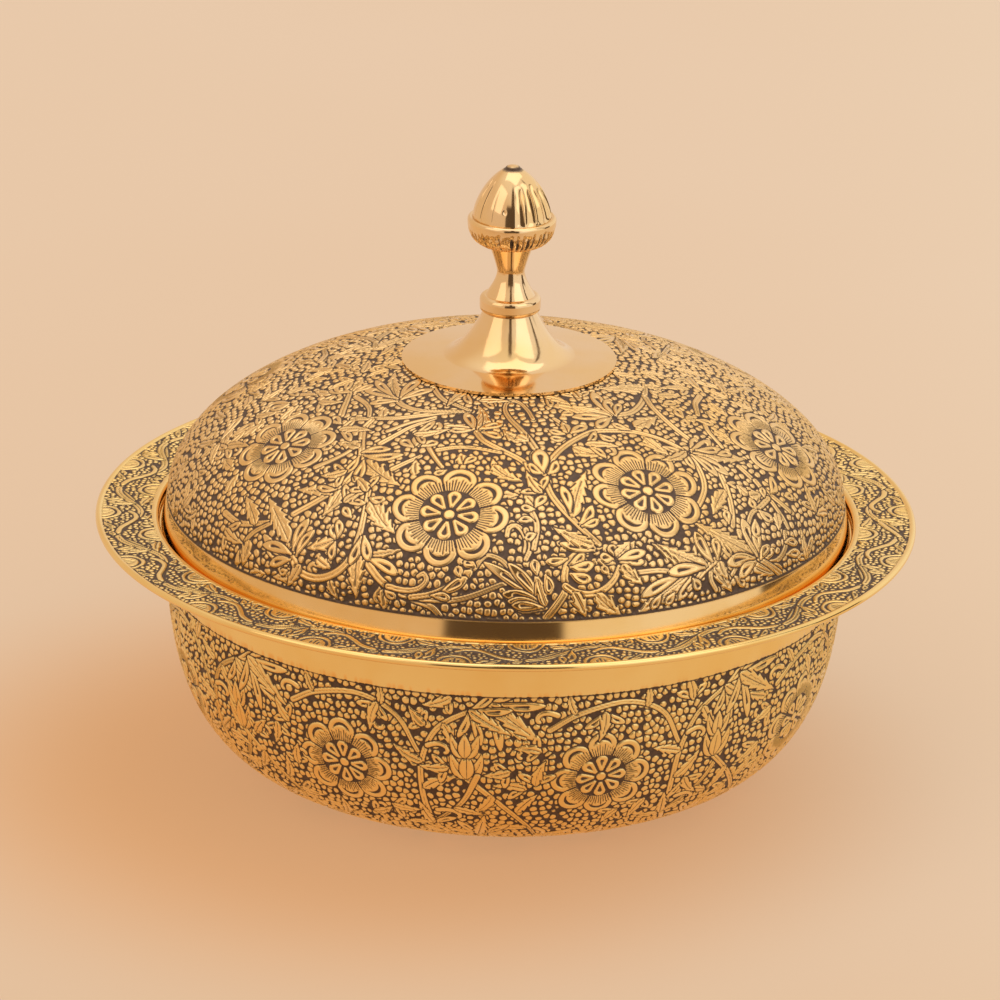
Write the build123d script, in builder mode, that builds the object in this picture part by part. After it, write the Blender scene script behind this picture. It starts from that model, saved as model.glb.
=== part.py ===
from build123d import *
import os

# Covered candy dish of spun, chased brass, in millimetres.
# The origin is on the table under the centre of the bowl, and Z points up.
# The lid rests in the well of the bowl's rim, and its knob is a stack of turned pieces under a cast acorn.
# A name that ends in pull is the length of a curve's handle: how far an end's direction carries into the curve.

# Sheet metal
sheet = 0.8  # brass sheet of the bowl and of the lid
bend_radius = 0.3  # inside radius of the sharp bends of the rim

# Lid
lid_radius = 83.2  # outside of the plain band at the lid's foot
lid_band = 6.6  # straight height of that band
lid_height = 43.95  # from the foot to the outside of the crown
crown_pull = 51.9
shoulder_pull = 18.5

# Bowl
seat_clearance = 1.4  # between the lid and the well, on the radius
seat_depth = 3.2  # from the flat of the rim down to the ledge
ledge_margin = 0.4  # ledge that shows inside the lid's foot
rim_width = 15.4  # from the wall of the well to the outside of the hem
hem_thickness = 1.7  # rolled edge of the rim
hem_rise = 0.25  # how far the hem stands above the flat of the rim
neck_height = 5.4  # straight wall from the belly to the ledge
belly_height = 54.0  # from the table to the straight wall
belly_pull = 32.7
base_pull = 28.8
base_radius = 45.0  # flat that the bowl stands on

# Stud, washer and nut that hold the knob
stud_radius = 2.0
stud_clearance = 0.25  # plain holes round the stud
thread_clearance = 0.05  # threaded holes round the stud
stud_hold = 10.0  # stud inside the acorn
stud_tip_gap = 0.6  # left above the stud in the acorn
stud_end = 2.4  # stud that shows below the nut
stud_chamfer = 0.4
washer_radius = 6.0
washer_thickness = 1.0
nut_flats = 7.0
nut_height = 3.2
seat_gap = 0.1  # between the dome and the washer or the foot of the knob

# Foot of the knob, a bell on a thin disc
disc_radius = 26.0
disc_edge = 0.7  # thickness of the disc at its edge
bell_height = 11.1  # from the lid's crown to the collar
bell_top_radius = 6.5
bell_foot_radius = 18.5  # where the bell has run out into the disc
bell_foot_pull = 3.0
bell_top_pull = 13.5
bell_top_slope = 27.0  # degrees from upright at the top of the bell

# Collar and neck of the knob
collar_radius = 7.4
collar_height = 4.2
collar_round = 1.25
neck_length = 6.05
neck_foot_radius = 5.95
neck_top_radius = 3.35
neck_pull = 2.2
neck_foot_slope = 30.0  # degrees from upright

# Acorn: stalk, cup and kernel in one casting
stalk_length = 6.5
stalk_foot_pull = 1.6
stalk_foot_slope = 10.0  # degrees from upright
stalk_top_radius = 5.4
stalk_top_pull = 2.2
stalk_top_slope = 22.0
cup_radius = 10.7
cup_height = 6.4  # from the stalk to the widest place
cup_under_pull = 1.6
cup_side_pull = 5.5
cup_lip = 0.8  # rounding of the cup's rim
kernel_radius = 9.5
kernel_groove = 0.4  # groove between the cup's rim and the kernel
kernel_height = 12.3
kernel_side_pull = 4.15
kernel_tip_pull = 4.5
kernel_tip_slope = 27.0  # degrees from level at the tip
kernel_tip_radius = 1.95
knob_radius = 1.75
knob_band = 0.25
knob_crown = 0.65

# Flutes of the kernel and notches of the cup, each with the shares of the curve that it runs between
flute_count = 24
flute_radius = 0.42
flute_run = (0.04, 0.7)
notch_count = 40
notch_depth = 0.42
notch_run = (0.1, 0.86)

# Places that follow from the sizes above
well_radius = lid_radius + seat_clearance
rim_radius = well_radius + rim_width
bowl_inside = lid_radius - sheet - ledge_margin
ledge_height = belly_height + neck_height
rim_height = ledge_height + seat_depth
band_top = ledge_height + lid_band
crown_height = ledge_height + lid_height
collar_bottom = crown_height + bell_height
neck_bottom = collar_bottom + collar_height
seam_height = neck_bottom + neck_length
stalk_top = seam_height + stalk_length
cup_top = stalk_top + cup_height
kernel_bottom = cup_top + cup_lip - kernel_groove
kernel_top = kernel_bottom + kernel_height
bore_radius = stud_radius + stud_clearance
tapped_radius = stud_radius + thread_clearance
share_accuracy = 1e-6
quarter_handle = 0.5523  # handle of a quarter circle of radius one, and of the step to a parallel curve


def handle(start, length, slope):
    """Point at a length from the start of a curve, in degrees from straight up, positive outwards."""
    return tuple(Vector(start) + Vector(0, length).rotate(Axis.Z, -slope))


def dome_points(depth=0.0):
    """Control points of the dome, from the crown to the plain band, at a depth below its outside."""
    return [
        (0, crown_height - depth),
        (crown_pull - quarter_handle * depth, crown_height - depth),
        (lid_radius - depth, band_top + shoulder_pull - quarter_handle * depth),
        (lid_radius - depth, band_top),
    ]


def dome_share(radius, depth=0.0):
    """Share of the dome's curve from the crown out to a radius, found by halving."""
    dome = Edge.make_bezier(*dome_points(depth))
    low, high = 0.0, 1.0
    while high - low > share_accuracy:
        middle = (low + high) / 2
        if (dome @ middle).X < radius:
            low = middle
        else:
            high = middle
    return low


def bowl_line(depth):
    """Line along the bowl's sheet, from the rim to the axis, at a depth below its upper side."""
    edge = FilletPolyline(
        (rim_radius - hem_thickness / 2, rim_height - depth),
        (well_radius + depth, rim_height - depth),
        (well_radius + depth, ledge_height - depth),
        (bowl_inside + depth, ledge_height - depth),
        (bowl_inside + depth, belly_height),
        radius=(bend_radius + sheet - depth, bend_radius + depth, bend_radius + sheet - depth),
    )
    belly = Bezier(
        edge @ 1,
        (bowl_inside + depth, belly_height - belly_pull - quarter_handle * depth),
        (base_radius + base_pull + quarter_handle * depth, sheet - depth),
        (base_radius, sheet - depth),
    )
    base = Line(belly @ 1, (0, sheet - depth))
    return edge @ 0, base @ 1


# Bowl: the upper and the lower side of its sheet, and the rolled hem
with BuildPart() as bowl:
    with BuildSketch(Plane.XZ):
        with BuildLine():
            upper_rim, upper_base = bowl_line(0)
            lower_rim, lower_base = bowl_line(sheet)
            Line(upper_rim, lower_rim)
            Line(upper_base, lower_base)
        make_face()
        with Locations((rim_radius - hem_thickness / 2, rim_height + hem_rise - hem_thickness / 2)):
            Circle(hem_thickness / 2)
    revolve(axis=Axis.Z)

# Lid: the outside and the inside of the dome and its band, and a hole for the stud
with BuildPart() as lid:
    with BuildSketch(Plane.XZ):
        with BuildLine():
            outside = Bezier(*dome_points())
            inside = Bezier(*dome_points(sheet))
            Line(outside @ 0, inside @ 0)
            Polyline(
                outside @ 1,
                (lid_radius, ledge_height),
                (lid_radius - sheet, ledge_height),
                inside @ 1,
            )
        make_face()
    revolve(axis=Axis.Z)
    with Locations(Plane.XY.offset(crown_height)):
        Hole(bore_radius, depth=2 * sheet)

# Foot of the knob: a bell that runs out into a thin disc, hollowed to sit on the dome
disc_depth = -seat_gap - disc_edge
disc_line = Edge.make_bezier(*dome_points(disc_depth))
disc = disc_line.trim(0, dome_share(disc_radius, disc_depth))
bell_share = dome_share(bell_foot_radius, disc_depth)
bell_foot = disc_line @ bell_share
bell_top = Vector(bell_top_radius, collar_bottom)
with BuildPart() as finial_foot:
    with BuildSketch(Plane.XZ):
        with BuildLine():
            add(disc)
            Polyline(disc @ 1, (disc_radius, band_top), (0, band_top), disc @ 0)
        make_face()
        with BuildLine():
            bell = Bezier(
                bell_foot,
                bell_foot - (disc_line % bell_share) * bell_foot_pull,
                handle(bell_top, -bell_top_pull, -bell_top_slope),
                bell_top,
            )
            Polyline(bell @ 1, (0, collar_bottom), (0, band_top), (bell_foot_radius, band_top), bell @ 0)
        make_face()
        with BuildLine():
            under = Bezier(*dome_points(-seat_gap))
            Polyline(under @ 1, (0, band_top), under @ 0)
        make_face(mode=Mode.SUBTRACT)
    revolve(axis=Axis.Z)
    with Locations(Plane.XY.offset(collar_bottom)):
        Hole(bore_radius)

# Collar: a ring with both of its outer edges rounded
with BuildPart() as finial_collar:
    with BuildSketch(Plane.XY.offset(collar_bottom)):
        Circle(collar_radius)
        Circle(bore_radius, mode=Mode.SUBTRACT)
    extrude(amount=collar_height)
    outer_edges = finial_collar.edges().filter_by(GeomType.CIRCLE).group_by(SortBy.RADIUS)[-1]
    fillet(outer_edges, radius=collar_round)

# Neck: waisted, from the collar to the seam under the acorn
with BuildPart() as finial_neck:
    with BuildSketch(Plane.XZ):
        with BuildLine():
            neck = Bezier(
                (neck_foot_radius, neck_bottom),
                handle((neck_foot_radius, neck_bottom), neck_pull, -neck_foot_slope),
                (neck_top_radius, seam_height - neck_pull),
                (neck_top_radius, seam_height),
            )
            Polyline(neck @ 1, (bore_radius, seam_height), (bore_radius, neck_bottom), neck @ 0)
        make_face()
    revolve(axis=Axis.Z)

# Acorn: the flutes and notches are cut along the kernel's and the cup's own curves
cup_points = [
    (stalk_top_radius, stalk_top),
    (stalk_top_radius + cup_under_pull, stalk_top),
    (cup_radius, cup_top - cup_side_pull),
    (cup_radius, cup_top),
]
kernel_points = [
    (kernel_radius, kernel_bottom),
    (kernel_radius, kernel_bottom + kernel_side_pull),
    handle((kernel_tip_radius, kernel_top), kernel_tip_pull, 90 + kernel_tip_slope),
    (kernel_tip_radius, kernel_top),
]

with BuildPart() as flute:
    with BuildLine(Plane.XZ, mode=Mode.PRIVATE) as kernel_line:
        Bezier(*kernel_points)
    flute_path = kernel_line.edge().trim(*flute_run)
    with BuildSketch(Plane(origin=flute_path @ 0, z_dir=flute_path % 0)):
        Circle(flute_radius)
    sweep(path=flute_path)

with BuildPart() as notch:
    with BuildLine(Plane.XZ, mode=Mode.PRIVATE) as cup_line:
        Bezier(*cup_points)
    notch_path = cup_line.edge().trim(*notch_run)
    with BuildSketch(Plane(origin=notch_path @ 0, z_dir=notch_path % 0, x_dir=(0, 1, 0))):
        RegularPolygon(notch_depth, side_count=4)
    sweep(path=notch_path)

with BuildPart() as acorn:
    with BuildSketch(Plane.XZ):
        with BuildLine():
            stalk = Bezier(
                (neck_top_radius, seam_height),
                handle((neck_top_radius, seam_height), stalk_foot_pull, stalk_foot_slope),
                handle((stalk_top_radius, stalk_top), -stalk_top_pull, stalk_top_slope),
                (stalk_top_radius, stalk_top),
            )
            Bezier(*cup_points)
            lip = CenterArc((cup_radius - cup_lip, cup_top), cup_lip, 0, 90)
            Line(lip @ 1, (kernel_radius, kernel_bottom))
            Bezier(*kernel_points)
            Polyline(
                (kernel_tip_radius, kernel_top),
                (knob_radius, kernel_top),
                (knob_radius, kernel_top + knob_band),
            )
            knob_top = kernel_top + knob_band + knob_crown
            knob = Bezier(
                (knob_radius, kernel_top + knob_band),
                (knob_radius, knob_top - knob_crown * (1 - quarter_handle)),
                (knob_radius * quarter_handle, knob_top),
                (0, knob_top),
            )
            Polyline(knob @ 1, (0, seam_height), stalk @ 0)
        make_face()
    revolve(axis=Axis.Z)
    with PolarLocations(0, flute_count):
        add(flute.part, mode=Mode.SUBTRACT)
    with PolarLocations(0, notch_count):
        add(notch.part, mode=Mode.SUBTRACT)
    with Locations(Plane.XY.offset(seam_height)):
        Cylinder(
            tapped_radius,
            stud_hold,
            align=(Align.CENTER, Align.CENTER, Align.MIN),
            mode=Mode.SUBTRACT,
        )

# Washer and nut: stacked up against the inside of the dome
washer_depth = sheet + seat_gap
washer_seat = Edge.make_bezier(*dome_points(washer_depth)) @ dome_share(washer_radius, washer_depth)
washer_bottom = washer_seat.Y - washer_thickness
nut_bottom = washer_bottom - nut_height

with BuildPart() as lid_washer:
    with BuildSketch(Plane.XY.offset(washer_bottom)):
        Circle(washer_radius)
        Circle(bore_radius, mode=Mode.SUBTRACT)
    extrude(amount=washer_thickness)

with BuildPart() as lid_nut:
    with BuildSketch(Plane.XY.offset(nut_bottom)):
        RegularPolygon(nut_flats / 2, side_count=6, major_radius=False)
        Circle(tapped_radius, mode=Mode.SUBTRACT)
    extrude(amount=nut_height)
    with BuildSketch(Plane.XY.offset(nut_bottom)):
        Circle(nut_flats / 2)
    extrude(amount=nut_height, taper=-45, mode=Mode.INTERSECT)

# Stud: from under the nut up into the acorn
stud_bottom = nut_bottom - stud_end
stud_top = seam_height + stud_hold - stud_tip_gap
with BuildPart() as finial_stud:
    with BuildSketch(Plane.XY.offset(stud_bottom)):
        Circle(stud_radius)
    extrude(amount=stud_top - stud_bottom)
    chamfer(finial_stud.edges().filter_by(GeomType.CIRCLE), stud_chamfer)

pieces = {
    "bowl": bowl,
    "lid": lid,
    "finial_foot": finial_foot,
    "finial_collar": finial_collar,
    "finial_neck": finial_neck,
    "acorn": acorn,
    "finial_stud": finial_stud,
    "lid_washer": lid_washer,
    "lid_nut": lid_nut,
}

os.makedirs("parts", exist_ok=True)
for name, piece in pieces.items():
    piece.part.label = name
    export_step(piece.part, f"parts/{name}.step")
    print(name, "volume", round(piece.part.volume, 1), "valid", piece.part.is_valid)
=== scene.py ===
import math

import bpy
import numpy as np
from mathutils import Matrix, Vector


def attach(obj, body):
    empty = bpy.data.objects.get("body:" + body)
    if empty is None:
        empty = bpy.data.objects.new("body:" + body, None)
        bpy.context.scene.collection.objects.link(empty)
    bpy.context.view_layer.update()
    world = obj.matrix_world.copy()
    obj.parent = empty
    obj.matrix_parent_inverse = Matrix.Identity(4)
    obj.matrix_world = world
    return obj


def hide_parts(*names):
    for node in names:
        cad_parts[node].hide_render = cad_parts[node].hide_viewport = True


# Covered candy dish of chased brass. Drawing sizes are in millimetres, and meshes are written in metres.
# The two sheets are rebuilt with their chased relief. The turned knob and its fasteners are the CAD nodes.

mm = 0.001
turn = 2 * math.pi
chance = np.random.default_rng(7)

# Sizes of the sheets, the same as the CAD's
sheet = 0.8
lid_radius, band_top, crown_height, lid_foot = 83.2, 66.0, 103.35, 59.4
crown_pull, shoulder_pull = 51.9, 18.5
bore_radius = 2.25
well_radius, rim_radius, rim_height, ledge_height = 84.6, 100.0, 62.6, 59.4
bowl_inside, belly_height, belly_pull = 82.0, 54.0, 32.7
base_radius, base_pull = 45.0, 28.8
hem_thickness, hem_rise = 1.7, 0.25
bend = 0.3
quarter_handle = 0.5523

# The photograph's camera: its height angle, distance, lens and roll were fitted to the rim and the lid
camera_elevation, camera_roll, camera_distance = math.radians(20.807), math.radians(1.179), 1.5
camera_aim = (-0.001486, 0, 0.065455)
camera_sensor, camera_lens = 36, 221.33
picture_size = 1000
focal_pixels = camera_lens / camera_sensor * picture_size
# Where a ray of the camera is searched for the lid: nearest and furthest from the eye, and number of steps
ray_search = (1350, 1600, 5000)

# Relief
columns = 2000
column_step = turn / columns
column_angles = np.arange(columns) * column_step
row_pitch = 0.26
plain_pitch = 1.6
relief_depth = 0.42
flank = 0.3  # width of a figure's side
moat = 0.34  # cleared line round a figure
far_off = 9.0  # stands for no figure near

# The chased strips. The lid's starts at a distance along the dome and ends above the plain band, the rim's
# starts at a radius, and the bowl's starts below the top of the belly and ends before the flat base
chased_from, chased_above_band = 25.2, 0.85
rim_strip = 86.2
bowl_plain, bowl_end = 6.0, 1.0
ragged_waves = (61, 97, 173, 257, 379, 541)  # round the edge of a strip
# How much wider the lid's plain band is at its foot and at its top, and the height over which that fades out
flare_foot, flare_top, flare_fade = 1.0, -0.55, 14.0
edge_round = 0.15


def smooth(low, high, value):
    """0 at low, 1 at high, and smooth between."""
    share = np.clip((value - low) / (high - low), 0, 1)
    return share * share * (3 - 2 * share)


def bezier(points, count):
    """Points on a cubic curve."""
    t = np.linspace(0, 1, count)[:, None]
    a, b, c, d = (np.array(p, float) for p in points)
    return (1 - t) ** 3 * a + 3 * (1 - t) ** 2 * t * b + 3 * (1 - t) * t**2 * c + t**3 * d


def through(points, step=0.6):
    """A smooth line through points."""
    p = np.array(points, float)
    p = np.vstack([2 * p[0] - p[1], p, 2 * p[-1] - p[-2]])
    line = []
    for a, b, c, d in zip(p, p[1:], p[2:], p[3:]):
        t = np.linspace(0, 1, max(2, int(np.hypot(*(c - b)) / step)), endpoint=False)[:, None]
        square, cube = 2 * a - 5 * b + 4 * c - d, 3 * b - a - 3 * c + d
        line.append(0.5 * (2 * b + (c - a) * t + square * t**2 + cube * t**3))
    line.append(p[-2:-1])
    return np.vstack(line)


def turned(x, y, heading):
    """The same places along and across a heading."""
    return x * math.cos(heading) + y * math.sin(heading), y * math.cos(heading) - x * math.sin(heading)


class Band:
    """A chased strip of sheet: rows lie along its profile, and columns go round the axis.
    level is 0 on top of the work and -1 on its ground, and room is the distance to the nearest figure.
    tone says how dark its cuts are, and the surface darkening how dark its whole surface is,
    which on the rim's front is painted shade."""

    def __init__(self, along, radius):
        self.along, self.radius = along, radius
        self.level = np.full((len(along), columns), -1.0)
        self.tone, self.stain_and_shade = 1.0, 0.0
        self.room = np.full((len(along), columns), far_off)

    def patch(self, angle, along, wide, high):
        rows = np.nonzero(np.abs(self.along - along) <= high)[0]
        if not len(rows):
            return None
        half = min(int(wide / (self.radius[rows].min() * column_step)) + 1, columns // 2 - 1)
        cols = np.arange(-half, half + 1) + int(round(angle / column_step))
        x = self.radius[rows, None] * (cols * column_step - angle)
        y = np.repeat((self.along[rows] - along)[:, None], len(cols), 1)
        return np.ix_(rows, cols % columns), x, y

    def radius_at(self, along):
        return np.interp(along, self.along, self.radius)

    def raise_up(self, where, gap, top=0.0, clear=moat):
        """Raises what lies inside gap, with a cleared line round it."""
        level = self.level[where]
        hollow = smooth(clear + 0.16, clear - 0.16, gap)
        level = level * (1 - hollow) - hollow
        body = -1 + (1 + top) * smooth(flank / 2, -flank / 2, gap)
        self.level[where] = np.maximum(level, body)
        self.room[where] = np.minimum(self.room[where], gap)

    def cut(self, where, gap, depth=0.9):
        """Engraves what lies inside gap."""
        self.level[where] = np.maximum(self.level[where] - depth * smooth(flank / 2, -flank / 2, gap), -1)


def leaf(band, spot, heading, length, width, bow=0.0, teeth=0, blunt=False):
    """A leaf that starts at a spot and bows sideways, with engraved lines. A blunt one is widest near its end."""
    got = band.patch(*spot, length * 1.2 + 1, length * 1.2 + 1)
    if not got:
        return
    where, x, y = got
    u, v = turned(x, y, heading)
    share = np.clip(u / length, 0, 1)
    v = v - bow * length * share * (1.6 * share - 0.6 if not blunt else share)
    shape = np.sin(math.pi * share**1.45) ** 0.62 if blunt else np.sin(math.pi * share**0.72) ** 0.9
    half = width / 2 * np.maximum(shape, 0.22 * (share < 0.5))
    if teeth:
        half = half * (1.06 - 0.42 * ((share * teeth + 0.2 * np.sign(v)) % 1) * (share > 0.14))
    gap = np.where((u > 0) & (u < length), np.abs(v) - half, np.hypot(u - share * length, v))
    band.raise_up(where, gap)
    if blunt:
        bulge = 0.17 * width * np.clip((share - 0.3) / 0.4, 0, 1)
        drop = np.where(share < 0.7, np.abs(v) - bulge, np.hypot(u - length * 0.7, v) - 0.17 * width)
        band.cut(where, np.maximum(drop, (0.3 - share) * length), 0.85)
        return
    rib = np.maximum(np.abs(v) - 0.14, np.abs(u - length * 0.4) - length * 0.36)
    band.cut(where, rib, 0.85)
    if width > 3.4:
        vein = np.abs(np.abs(v) - half * 0.5 * (1 - share * 0.6)) - 0.11
        band.cut(where, np.maximum(vein, np.abs(u - length * 0.4) - length * 0.2), 0.7)


def leaf_between(band, foot, tip, width, bow, blunt):
    """A leaf from a foot to a tip."""
    across = (tip[0] - foot[0]) * band.radius_at((foot[1] + tip[1]) / 2)
    along = tip[1] - foot[1]
    length = math.hypot(across, along)
    teeth = 0 if blunt else max(3, round(length / 2.4))
    leaf(band, foot, math.atan2(along, across), length, width * (1.25 if blunt else 1.4), bow, teeth, blunt)


def vine(band, spots, width, tip=None, groove=True):
    """A stem through spots, narrowing to its tip."""
    spots = np.array(spots, float)
    angle, along = (spots.min(0) + spots.max(0)) / 2
    reach = band.radius_at(along)
    line = through(np.stack([(spots[:, 0] - angle) * reach, spots[:, 1] - along], 1))
    wide, high = np.abs(line).max(0) + 2
    got = band.patch(angle, along, wide, high)
    if not got:
        return
    where, x, y = got
    x = x * reach / band.radius[where[0]]
    tip = width if tip is None else tip
    shares = np.linspace(0, 1, len(line))
    gap, near = np.full(x.shape, far_off), np.full(x.shape, far_off)
    for (ax, ay), (bx, by), share in zip(line, line[1:], shares):
        dx, dy = bx - ax, by - ay
        t = np.clip(((x - ax) * dx + (y - ay) * dy) / (dx * dx + dy * dy + 1e-9), 0, 1)
        off = np.hypot(x - ax - t * dx, y - ay - t * dy)
        gap = np.minimum(gap, off - (width + (tip - width) * share) / 2)
        near = np.minimum(near, off)
    band.raise_up(where, gap)
    if groove:
        band.cut(where, near - 0.12, 0.7)


def spray(band, spot, heading, size, lobes):
    """Leaves fanned out from one place: curved blunt ones, and a long serrated one in the middle on top."""
    middle = (lobes - 1) / 2
    for i in sorted(range(lobes), key=lambda i: -abs(i - middle)):
        side = (i - middle) / max(middle, 1)
        length = size * (1 - 0.36 * abs(side)) * chance.uniform(0.93, 1.06)
        if i == middle:
            leaf(band, spot, heading, length, size * 0.27, chance.uniform(-0.06, 0.06), 5)
        else:
            leaf(band, spot, heading + side, length, size * 0.06 + 1.35, 0.3 * side, 0, True)


def bud(band, spot, heading, size):
    """Two cupped sepals and a round bud between them."""
    for side in (-1, 1):
        leaf(band, spot, heading + side * 0.75, size, size * 0.34, -0.3 * side, 0)
    leaf(band, spot, heading, size * 0.95, size * 0.42, 0, 0)


def curl(band, spot, heading, size, hand):
    """A tendril that ends in a hook."""
    steps = np.linspace(0, 1, 9)
    bearing = heading + hand * 3.4 * steps**1.6
    step = size * (1.2 - steps) / 6
    x, y = np.cumsum(np.cos(bearing) * step), np.cumsum(np.sin(bearing) * step)
    reach = band.radius_at(spot[1])
    vine(band, np.stack([spot[0] + x / reach, spot[1] + y], 1), size * 0.1 + 0.45, 0.75, False)


def fill(band, room=2.3, most=900):
    """Sprigs of small leaves and hooks wherever the ground is still wide, at random places and headings."""
    low, high = band.along[0] + 1.5, band.along[-1] - 1.5
    for _ in range(most):
        spot = (chance.uniform(0, turn), chance.uniform(low, high))
        row = int(np.searchsorted(band.along, spot[1]))
        free = band.room[row, int(spot[0] / column_step) % columns]
        if free < room:
            continue
        heading, hand = chance.uniform(0, turn), chance.choice((-1, 1))
        size = chance.uniform(6.0, 8.6)
        back = size * 0.42
        across = back * math.cos(heading) / band.radius_at(spot[1])
        start = (spot[0] - across, spot[1] - back * math.sin(heading))
        if chance.random() < 0.3:
            curl(band, start, heading, size * 1.1, hand)
        for side in (-1, 1):
            short = size * chance.uniform(0.55, 0.8)
            leaf(band, start, heading + side * 0.62, short, 2.1, side * 0.3, 0, True)
        leaf(band, start, heading, size, 2.7, hand * 0.2, 3)


def flower(band, spot, size, twist):
    """Open flower of eight lobes with hatched throats, eight spoon petals and a boss."""
    got = band.patch(*spot, size + 2, size + 2)
    if not got:
        return
    where, x, y = got
    scale = size / 12
    x, y = x / scale, y / scale
    from_centre, bearing = np.hypot(x, y), np.arctan2(y, x) - twist
    petals = 8
    sector = turn / petals
    fold = (bearing + sector / 2) % sector - sector / 2
    number = np.floor((bearing + sector / 2) / sector) % petals
    u, v = from_centre * np.cos(fold), from_centre * np.sin(fold)
    reach = 8.55 + 0.25 * np.sin(number * 2.4)
    in_lobe = np.hypot(u - reach, v)
    band.raise_up(where, np.minimum(in_lobe - 3.42, from_centre - 7.6) * scale, -0.03, 0.36)
    edge = from_centre * np.sin(sector / 2 - np.abs(fold))
    band.cut(where, np.maximum(edge - 0.15, np.maximum(6.2 - from_centre, from_centre - 9.6)), 1.0)
    lines = 10.4
    stripe = fold / sector * lines
    ragged = 9.0 - 0.9 * (fold / sector * 2) ** 2 + 0.35 * np.sin(number * 5 + np.floor(stripe + 0.5) * 2.3)
    off_line = np.abs(stripe - np.round(stripe)) * sector / lines * from_centre
    hatch = np.maximum(off_line - 0.13, from_centre - ragged)
    band.cut(where, np.maximum(hatch, 6.2 - from_centre), 0.9)
    band.cut(where, np.maximum(in_lobe - 2.2, 2.4 - np.hypot(u - reach + 1.0, v)), 0.95)
    band.cut(where, from_centre - 6.1, 1.0)
    widen = 0.36 + np.clip((u - 1.8) / 2.75, 0, 1) * 1.06
    spoon = np.where(u < 4.55, np.maximum(np.abs(v) - widen, 1.7 - u), np.hypot(u - 4.55, v) - 1.42)
    band.raise_up(where, spoon * scale, 0.0, 0.1)
    hole = np.where(u < 4.4, np.abs(v) - 0.56 * np.clip((u - 2.5) / 1.9, 0, 1), np.hypot(u - 4.4, v) - 0.56)
    band.cut(where, np.maximum(hole, 2.6 - u), 0.8)
    band.raise_up(where, (from_centre - 1.1) * scale, 0.0, 0.25)


def pearl(band, first=0.9, pitch=1.86, radius=0.93, groove=0.36):
    """Fills what ground is left with rows of irregular pearls, pressed together and cut off beside figures."""
    rows = np.arange(band.along[0] + first, band.along[-1], pitch)
    counts = np.maximum(np.round(turn * band.radius_at(rows) / (pitch * 1.06)).astype(int), 3)
    shape = (len(rows), counts.max())
    nudge = chance.normal(0, 0.19 * pitch, (2,) + shape)
    start = chance.uniform(0, 1, len(rows))
    angle = (np.arange(shape[1])[None, :] + start[:, None]) * turn / counts[:, None]
    angle += nudge[0] / band.radius_at(rows)[:, None]
    along = rows[:, None] + nudge[1]
    size = radius * chance.uniform(0.8, 1.08, shape)
    row_at = np.clip(np.searchsorted(band.along, along), 0, len(band.along) - 1)
    col_at = np.round(angle / column_step).astype(int) % columns
    missing = np.where(band.room[row_at, col_at] > 0, 0.0, far_off)
    stretch = chance.uniform(0.88, 1.14, shape)
    nearest, second = np.full(band.level.shape, far_off), np.full(band.level.shape, far_off)
    gap = nearest.copy()
    theta = column_angles[None, :]
    middle = np.round((band.along - rows[0]) / pitch).astype(int)
    for up in (-1, 0, 1):
        j = np.clip(middle + up, 0, len(rows) - 1)[:, None]
        doubled = (middle + up != j[:, 0])[:, None] * far_off
        k_mid = np.round(theta * counts[j] / turn - start[j]).astype(int)
        for side in (-1, 0, 1):
            k = (k_mid + side) % counts[j]
            off = (theta - angle[j, k] + math.pi) % turn - math.pi
            dx = off * band.radius[:, None] * stretch[j, k]
            dy = (band.along[:, None] - along[j, k]) / stretch[j, k]
            far = np.hypot(dx, dy) + missing[j, k] + doubled
            gap = np.minimum(gap, far - size[j, k])
            second = np.minimum(second, np.maximum(far, nearest))
            nearest = np.minimum(nearest, far)
    gap = np.maximum(gap, groove / 2 - (second - nearest) / 2)
    gap = np.maximum(gap, moat - band.room)
    band.level = np.maximum(band.level, -1 + 0.97 * smooth(0.13, -0.17, gap))


# The drawing of the lid's front half on the dome laid flat, seen from above with the viewer at -Y. Its places
# were read on a grid, in squares of the drawing, and its left and right parts each count from a corner
drawing_square = 0.576
left_corner, right_corner = (-72.5, -8.6), (-12.1, -8.6)
lid_flowers = ((-54.4, -34.2, 12.9), (-13.8, -70.0, 14.1), (34.2, -57.2, 13.8), (67.0, -20.4, 13.4))
# Stems: width and places
left_vines = (
    (1.5, (111, 42), (100, 42), (90, 43), (80, 43), (72, 41), (61, 38)),
    (1.7, (69, 42), (66, 47), (65, 56), (65, 64), (64, 72), (60, 78), (55, 82), (45, 86), (34, 88)),
    (1.6, (30, 108), (32, 115), (40, 121), (50, 122), (58, 118), (63, 109), (66, 98), (68, 88)),
    (1.4, (0, 66), (6, 76), (14, 82), (24, 87)), (1.2, (2, 93), (6, 88), (13, 86), (23, 87)),
    (1.3, (80, 29), (83, 34), (90, 39), (100, 41), (110, 42)),
    (1.2, (95, 20), (99, 31), (104, 36), (110, 41)),
    (1.5, (113, 58), (116, 64), (123, 70), (131, 76), (139, 84)),
    (1.2, (97, 69), (105, 68), (113, 69), (123, 72)), (1.2, (73, 60), (79, 56), (86, 51), (96, 46)),
    (1.0, (76, 52), (85, 48), (96, 45)), (1.2, (78, 78), (84, 75), (90, 72)),
    (1.1, (45, 66), (54, 64), (60, 61), (64, 56)), (1.2, (62, 19), (66, 26), (68, 32), (68, 38)),
    (1.1, (93, 66), (96, 74), (99, 80)), (1.3, (143, 87), (144, 94), (148, 101)),
    (1.3, (136, 104), (139, 112), (138, 123)), (1.1, (38, 4), (45, 8), (53, 12)),
    (1.4, (56, 33), (58, 22), (60, 12)),
)
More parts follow.
